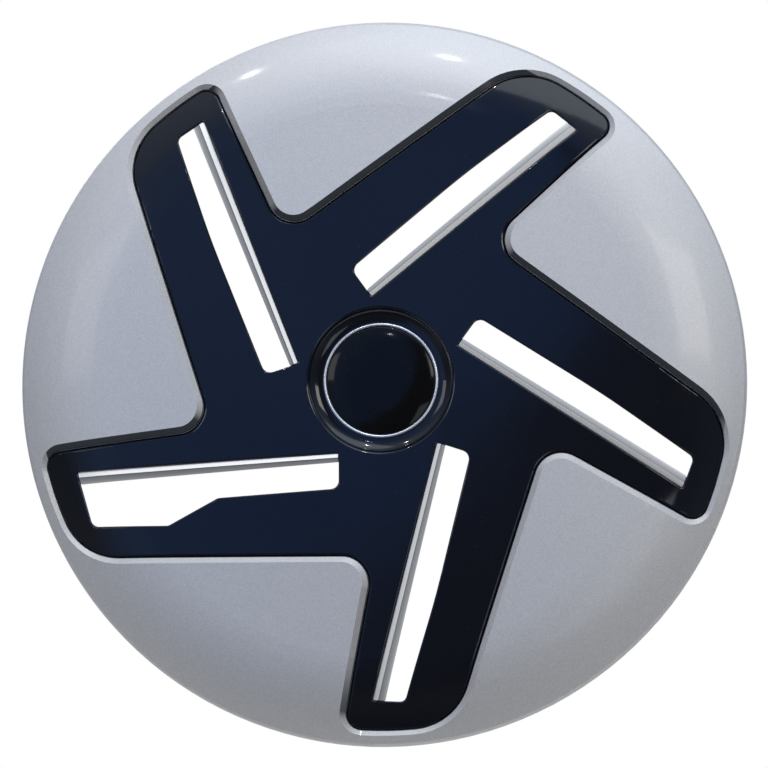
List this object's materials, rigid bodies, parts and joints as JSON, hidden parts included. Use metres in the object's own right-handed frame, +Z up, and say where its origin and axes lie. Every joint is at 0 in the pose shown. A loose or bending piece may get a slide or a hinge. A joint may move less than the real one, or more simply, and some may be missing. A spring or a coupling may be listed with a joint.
{
  "type": "hubcap",
  "caption": "Clip-on plastic wheel cover: silver domed disc with a black pinwheel insert, ridged silver blade strips along open slots and a plain round centre badge",
  "frame": {"origin": "on the wheel axis, in the plane of the cover's back edge that rests on the steel rim", "axes": "+Y is the wheel's spin axis and points from the cover into the wheel, so the visible front faces -Y; +Z is up as in the picture; +X is to the right seen from the front"},
  "size_m": [0.42, 0.0467, 0.42],
  "materials": {
    "silver_paint": "metallic silver paint with clear coat on moulded plastic",
    "gloss_black": "piano black gloss moulding",
    "satin_silver": "satin silver strip with fine lengthwise grain",
    "black_plastic": "plain black moulding",
    "chrome_plate": "bright plated ring",
    "nylon": "dark grey nylon",
    "spring_steel": "drawn spring wire",
    "zinc_steel": "zinc plated screws"
  },
  "bodies": {
    "root": {"cover_disc": "silver_paint", "star_insert": "gloss_black", "centre_cap": "black_plastic", "cap_ring": "chrome_plate", "cap_disc": "gloss_black", "tension_ring": "spring_steel", "insert_screws": "zinc_steel", "blade_trim_1": "satin_silver", "blade_trim_2": "satin_silver", "blade_trim_3": "satin_silver", "blade_trim_4": "satin_silver", "blade_trim_5": "satin_silver", "retaining_clip_01": "nylon", "retaining_clip_02": "nylon", "retaining_clip_03": "nylon", "retaining_clip_04": "nylon", "retaining_clip_05": "nylon", "retaining_clip_06": "nylon", "retaining_clip_07": "nylon", "retaining_clip_08": "nylon", "retaining_clip_09": "nylon", "retaining_clip_10": "nylon"}
  },
  "joints": []
}
